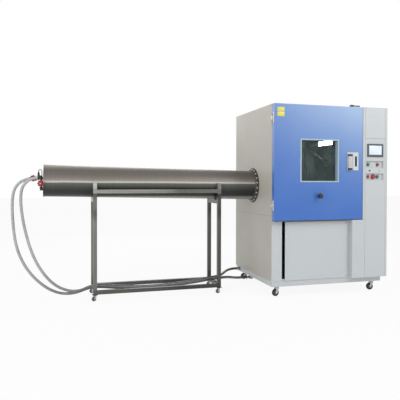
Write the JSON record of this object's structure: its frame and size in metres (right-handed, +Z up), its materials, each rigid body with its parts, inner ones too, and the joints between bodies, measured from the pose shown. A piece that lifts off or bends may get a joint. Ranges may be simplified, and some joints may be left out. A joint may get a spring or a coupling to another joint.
{
  "type": "environmental test chamber",
  "caption": "Free-standing water-jet test chamber: windowed door, turntable, spray hoop, control column and a long side jet tube on a wheeled stand, fed by two hoses.",
  "frame": {"origin": "on the floor, under the centre of the footprint of cabinet, tube and stand, hoses left out", "axes": "+X from the tube's closed end towards the control column, +Y from the door to the back, +Z up"},
  "size_m": [3.9082, 1.208, 2.076],
  "materials": {
    "casing_paint": "beige-grey powder paint",
    "front_paint": "pale grey powder paint",
    "door_paint": "blue paint, satin",
    "stainless": "brushed",
    "bright_steel": "polished",
    "galvanised": "zinc plated",
    "grey_plastic": "moulded",
    "black_plastic": "moulded",
    "slate_plastic": "moulded",
    "red_plastic": "glossy",
    "green_plastic": "glossy",
    "hose_plastic": "clear grey hose with a reinforcing spiral",
    "rubber_black": "matte",
    "rubber_grey": "matte",
    "window": "clear"
  },
  "bodies": {
    "cabinet": {"back_panel": "casing_paint", "body_frame": "galvanised", "chamber_liner": "stainless", "column_cover": "front_paint", "control_panel": "front_paint", "door_surround": "front_paint", "drive_motors": "stainless", "fasteners": "bright_steel", "hinge_leaves": "casing_paint", "inner_hose": "hose_plastic", "outer_hose": "hose_plastic", "jet_tube": "stainless", "left_panels": "casing_paint", "lower_access_panel": "front_paint", "nozzle_plate": "stainless", "plinth_frame": "front_paint", "pump_set": "stainless", "right_panel": "casing_paint", "roof_panel": "casing_paint", "stand_frame": "bright_steel", "touch_screen": "slate_plastic", "tube_flange": "stainless", "valve_set": "black_plastic", "water_tank": "stainless"},
    "door": {"door_shell": "door_paint", "door_inner_skin": "stainless", "door_gasket": "rubber_grey", "window_trim": "grey_plastic", "window_glass": "window", "door_hinges": "bright_steel", "handle_tray": "grey_plastic"},
    "door_lever": {"handle_lever": "bright_steel"},
    "door_bolt": {"latch_bolt": "bright_steel"},
    "wiper": {"wiper_knob": "black_plastic", "wiper_blade": "rubber_black"},
    "spray_hoop": {"swing_pipe": "stainless"},
    "table": {"turntable": "stainless"},
    "start_button_head": {"start_button": "green_plastic"},
    "stop_button_head": {"stop_button": "red_plastic"},
    "pump_off_button_head": {"pump_off_button": "red_plastic"},
    "emergency_stop_head": {"emergency_stop": "red_plastic"},
    "lamp_button_head": {"lamp_button": "green_plastic"},
    "upper_handwheel_stem": {"upper_handwheel": "red_plastic"},
    "lower_handwheel_stem": {"lower_handwheel": "red_plastic"},
    "cab_front_left_swivel": {"cab_front_left_fork": "galvanised"},
    "cab_front_left_roller": {"cab_front_left_wheel": "rubber_black"},
    "cab_front_right_swivel": {"cab_front_right_fork": "galvanised"},
    "cab_front_right_roller": {"cab_front_right_wheel": "rubber_black"},
    "cab_rear_left_swivel": {"cab_rear_left_fork": "galvanised"},
    "cab_rear_left_roller": {"cab_rear_left_wheel": "rubber_black"},
    "cab_rear_right_swivel": {"cab_rear_right_fork": "galvanised"},
    "cab_rear_right_roller": {"cab_rear_right_wheel": "rubber_black"},
    "stand_front_left_swivel": {"stand_front_left_fork": "galvanised"},
    "stand_front_left_roller": {"stand_front_left_wheel": "rubber_grey"},
    "stand_front_right_swivel": {"stand_front_right_fork": "galvanised"},
    "stand_front_right_roller": {"stand_front_right_wheel": "rubber_grey"},
    "stand_rear_left_swivel": {"stand_rear_left_fork": "galvanised"},
    "stand_rear_left_roller": {"stand_rear_left_wheel": "rubber_grey"},
    "stand_rear_right_swivel": {"stand_rear_right_fork": "galvanised"},
    "stand_rear_right_roller": {"stand_rear_right_wheel": "rubber_grey"}
  },
  "joints": [
    {"name": "door_hinge", "type": "hinge", "parent": "cabinet", "child": "door", "pos_m": [0.51869, -0.492, 1.3975], "axis": [0, 0, -1], "range_deg": [0, 120]},
    {"name": "lever_hinge", "type": "hinge", "parent": "door", "child": "door_lever", "pos_m": [1.38169, -0.56, 1.408], "axis": [0, 0, -1], "range_deg": [0, 35]},
    {"name": "bolt_slide", "type": "slide", "parent": "door", "child": "door_bolt", "axis": [-1, 0, 0], "range_m": [0, 0.01], "stiffness_N_per_m": 100, "springref_m": -0.003},
    {"name": "wiper_hinge", "type": "hinge", "parent": "door", "child": "wiper", "pos_m": [1.02769, -0.546, 1.051], "axis": [0, 1, 0], "range_deg": [-21, 69]},
    {"name": "hoop_hinge", "type": "hinge", "parent": "cabinet", "child": "spray_hoop", "pos_m": [1.02469, 0.06, 1.446], "axis": [1, 0, 0], "range_deg": [-115, 225]},
    {"name": "table_spin", "type": "hinge", "parent": "cabinet", "child": "table", "pos_m": [1.02469, 0.037, 0.942], "axis": [0, 0, 1], "continuous": true},
    {"name": "start_button_press", "type": "slide", "parent": "cabinet", "child": "start_button_head", "axis": [0, 1, 0], "range_m": [0, 0.004], "stiffness_N_per_m": 800, "springref_m": -0.001},
    {"name": "stop_button_press", "type": "slide", "parent": "cabinet", "child": "stop_button_head", "axis": [0, 1, 0], "range_m": [0, 0.004], "stiffness_N_per_m": 800, "springref_m": -0.001},
    {"name": "pump_off_button_press", "type": "slide", "parent": "cabinet", "child": "pump_off_button_head", "axis": [0, 1, 0], "range_m": [0, 0.004], "stiffness_N_per_m": 800, "springref_m": -0.001},
    {"name": "emergency_stop_press", "type": "slide", "parent": "cabinet", "child": "emergency_stop_head", "axis": [0, 1, 0], "range_m": [0, 0.004], "stiffness_N_per_m": 800, "springref_m": -0.001},
    {"name": "lamp_button_press", "type": "slide", "parent": "cabinet", "child": "lamp_button_head", "axis": [0, 1, 0], "range_m": [0, 0.004], "stiffness_N_per_m": 800, "springref_m": -0.001},
    {"name": "upper_handwheel_turn", "type": "hinge", "parent": "cabinet", "child": "upper_handwheel_stem", "pos_m": [-1.82731, -0.006, 1.228], "axis": [0, 1, 0], "range_deg": [-720, 720]},
    {"name": "lower_handwheel_turn", "type": "hinge", "parent": "cabinet", "child": "lower_handwheel_stem", "pos_m": [-1.75131, -0.006, 1.176], "axis": [0, 1, 0], "range_deg": [-720, 720]},
    {"name": "cab_front_left_swivel_turn", "type": "hinge", "parent": "cabinet", "child": "cab_front_left_swivel", "pos_m": [0.61869, -0.421, 0.08], "axis": [0, 0, 1], "continuous": true},
    {"name": "cab_front_left_wheel_roll", "type": "hinge", "parent": "cab_front_left_swivel", "child": "cab_front_left_roller", "pos_m": [0.59744, -0.42669, 0.0375], "axis": [-0.2588, 0.9659, 0], "continuous": true},
    {"name": "cab_front_right_swivel_turn", "type": "hinge", "parent": "cabinet", "child": "cab_front_right_swivel", "pos_m": [1.76169, -0.421, 0.08], "axis": [0, 0, 1], "continuous": true},
    {"name": "cab_front_right_wheel_roll", "type": "hinge", "parent": "cab_front_right_swivel", "child": "cab_front_right_roller", "pos_m": [1.73969, -0.421, 0.0375], "axis": [0, 1, 0], "continuous": true},
    {"name": "cab_rear_left_swivel_turn", "type": "hinge", "parent": "cabinet", "child": "cab_rear_left_swivel", "pos_m": [0.61869, 0.483, 0.08], "axis": [0, 0, 1], "continuous": true},
    {"name": "cab_rear_left_wheel_roll", "type": "hinge", "parent": "cab_rear_left_swivel", "child": "cab_rear_left_roller", "pos_m": [0.59703, 0.48682, 0.0375], "axis": [0.1736, 0.9848, 0], "continuous": true},
    {"name": "cab_rear_right_swivel_turn", "type": "hinge", "parent": "cabinet", "child": "cab_rear_right_swivel", "pos_m": [1.76169, 0.483, 0.08], "axis": [0, 0, 1], "continuous": true},
    {"name": "cab_rear_right_wheel_roll", "type": "hinge", "parent": "cab_rear_right_swivel", "child": "cab_rear_right_roller", "pos_m": [1.73991, 0.47994, 0.0375], "axis": [-0.1392, 0.9903, 0], "continuous": true},
    {"name": "stand_front_left_swivel_turn", "type": "hinge", "parent": "cabinet", "child": "stand_front_left_swivel", "pos_m": [-1.23531, -0.143, 0.08], "axis": [0, 0, 1], "continuous": true},
    {"name": "stand_front_left_wheel_roll", "type": "hinge", "parent": "stand_front_left_swivel", "child": "stand_front_left_roller", "pos_m": [-1.24677, -0.15103, 0.0235], "axis": [-0.5736, 0.8192, 0], "continuous": true},
    {"name": "stand_front_right_swivel_turn", "type": "hinge", "parent": "cabinet", "child": "stand_front_right_swivel", "pos_m": [0.06669, -0.143, 0.08], "axis": [0, 0, 1], "continuous": true},
    {"name": "stand_front_right_wheel_roll", "type": "hinge", "parent": "stand_front_right_swivel", "child": "stand_front_right_roller", "pos_m": [0.05354, -0.14779, 0.0235], "axis": [-0.342, 0.9397, 0], "continuous": true},
    {"name": "stand_rear_left_swivel_turn", "type": "hinge", "parent": "cabinet", "child": "stand_rear_left_swivel", "pos_m": [-1.23531, 0.217, 0.08], "axis": [0, 0, 1], "continuous": true},
    {"name": "stand_rear_left_wheel_roll", "type": "hinge", "parent": "stand_rear_left_swivel", "child": "stand_rear_left_roller", "pos_m": [-1.24909, 0.21457, 0.0235], "axis": [-0.1736, 0.9848, 0], "continuous": true},
    {"name": "stand_rear_right_swivel_turn", "type": "hinge", "parent": "cabinet", "child": "stand_rear_right_swivel", "pos_m": [0.06669, 0.217, 0.08], "axis": [0, 0, 1], "continuous": true},
    {"name": "stand_rear_right_wheel_roll", "type": "hinge", "parent": "stand_rear_right_swivel", "child": "stand_rear_right_roller", "pos_m": [0.05433, 0.21043, 0.0235], "axis": [-0.4695, 0.8829, 0], "continuous": true}
  ],
  "couplings": [
    {"joint": "lever_hinge", "follows": "bolt_slide", "rad_per_m": 61}
  ]
}
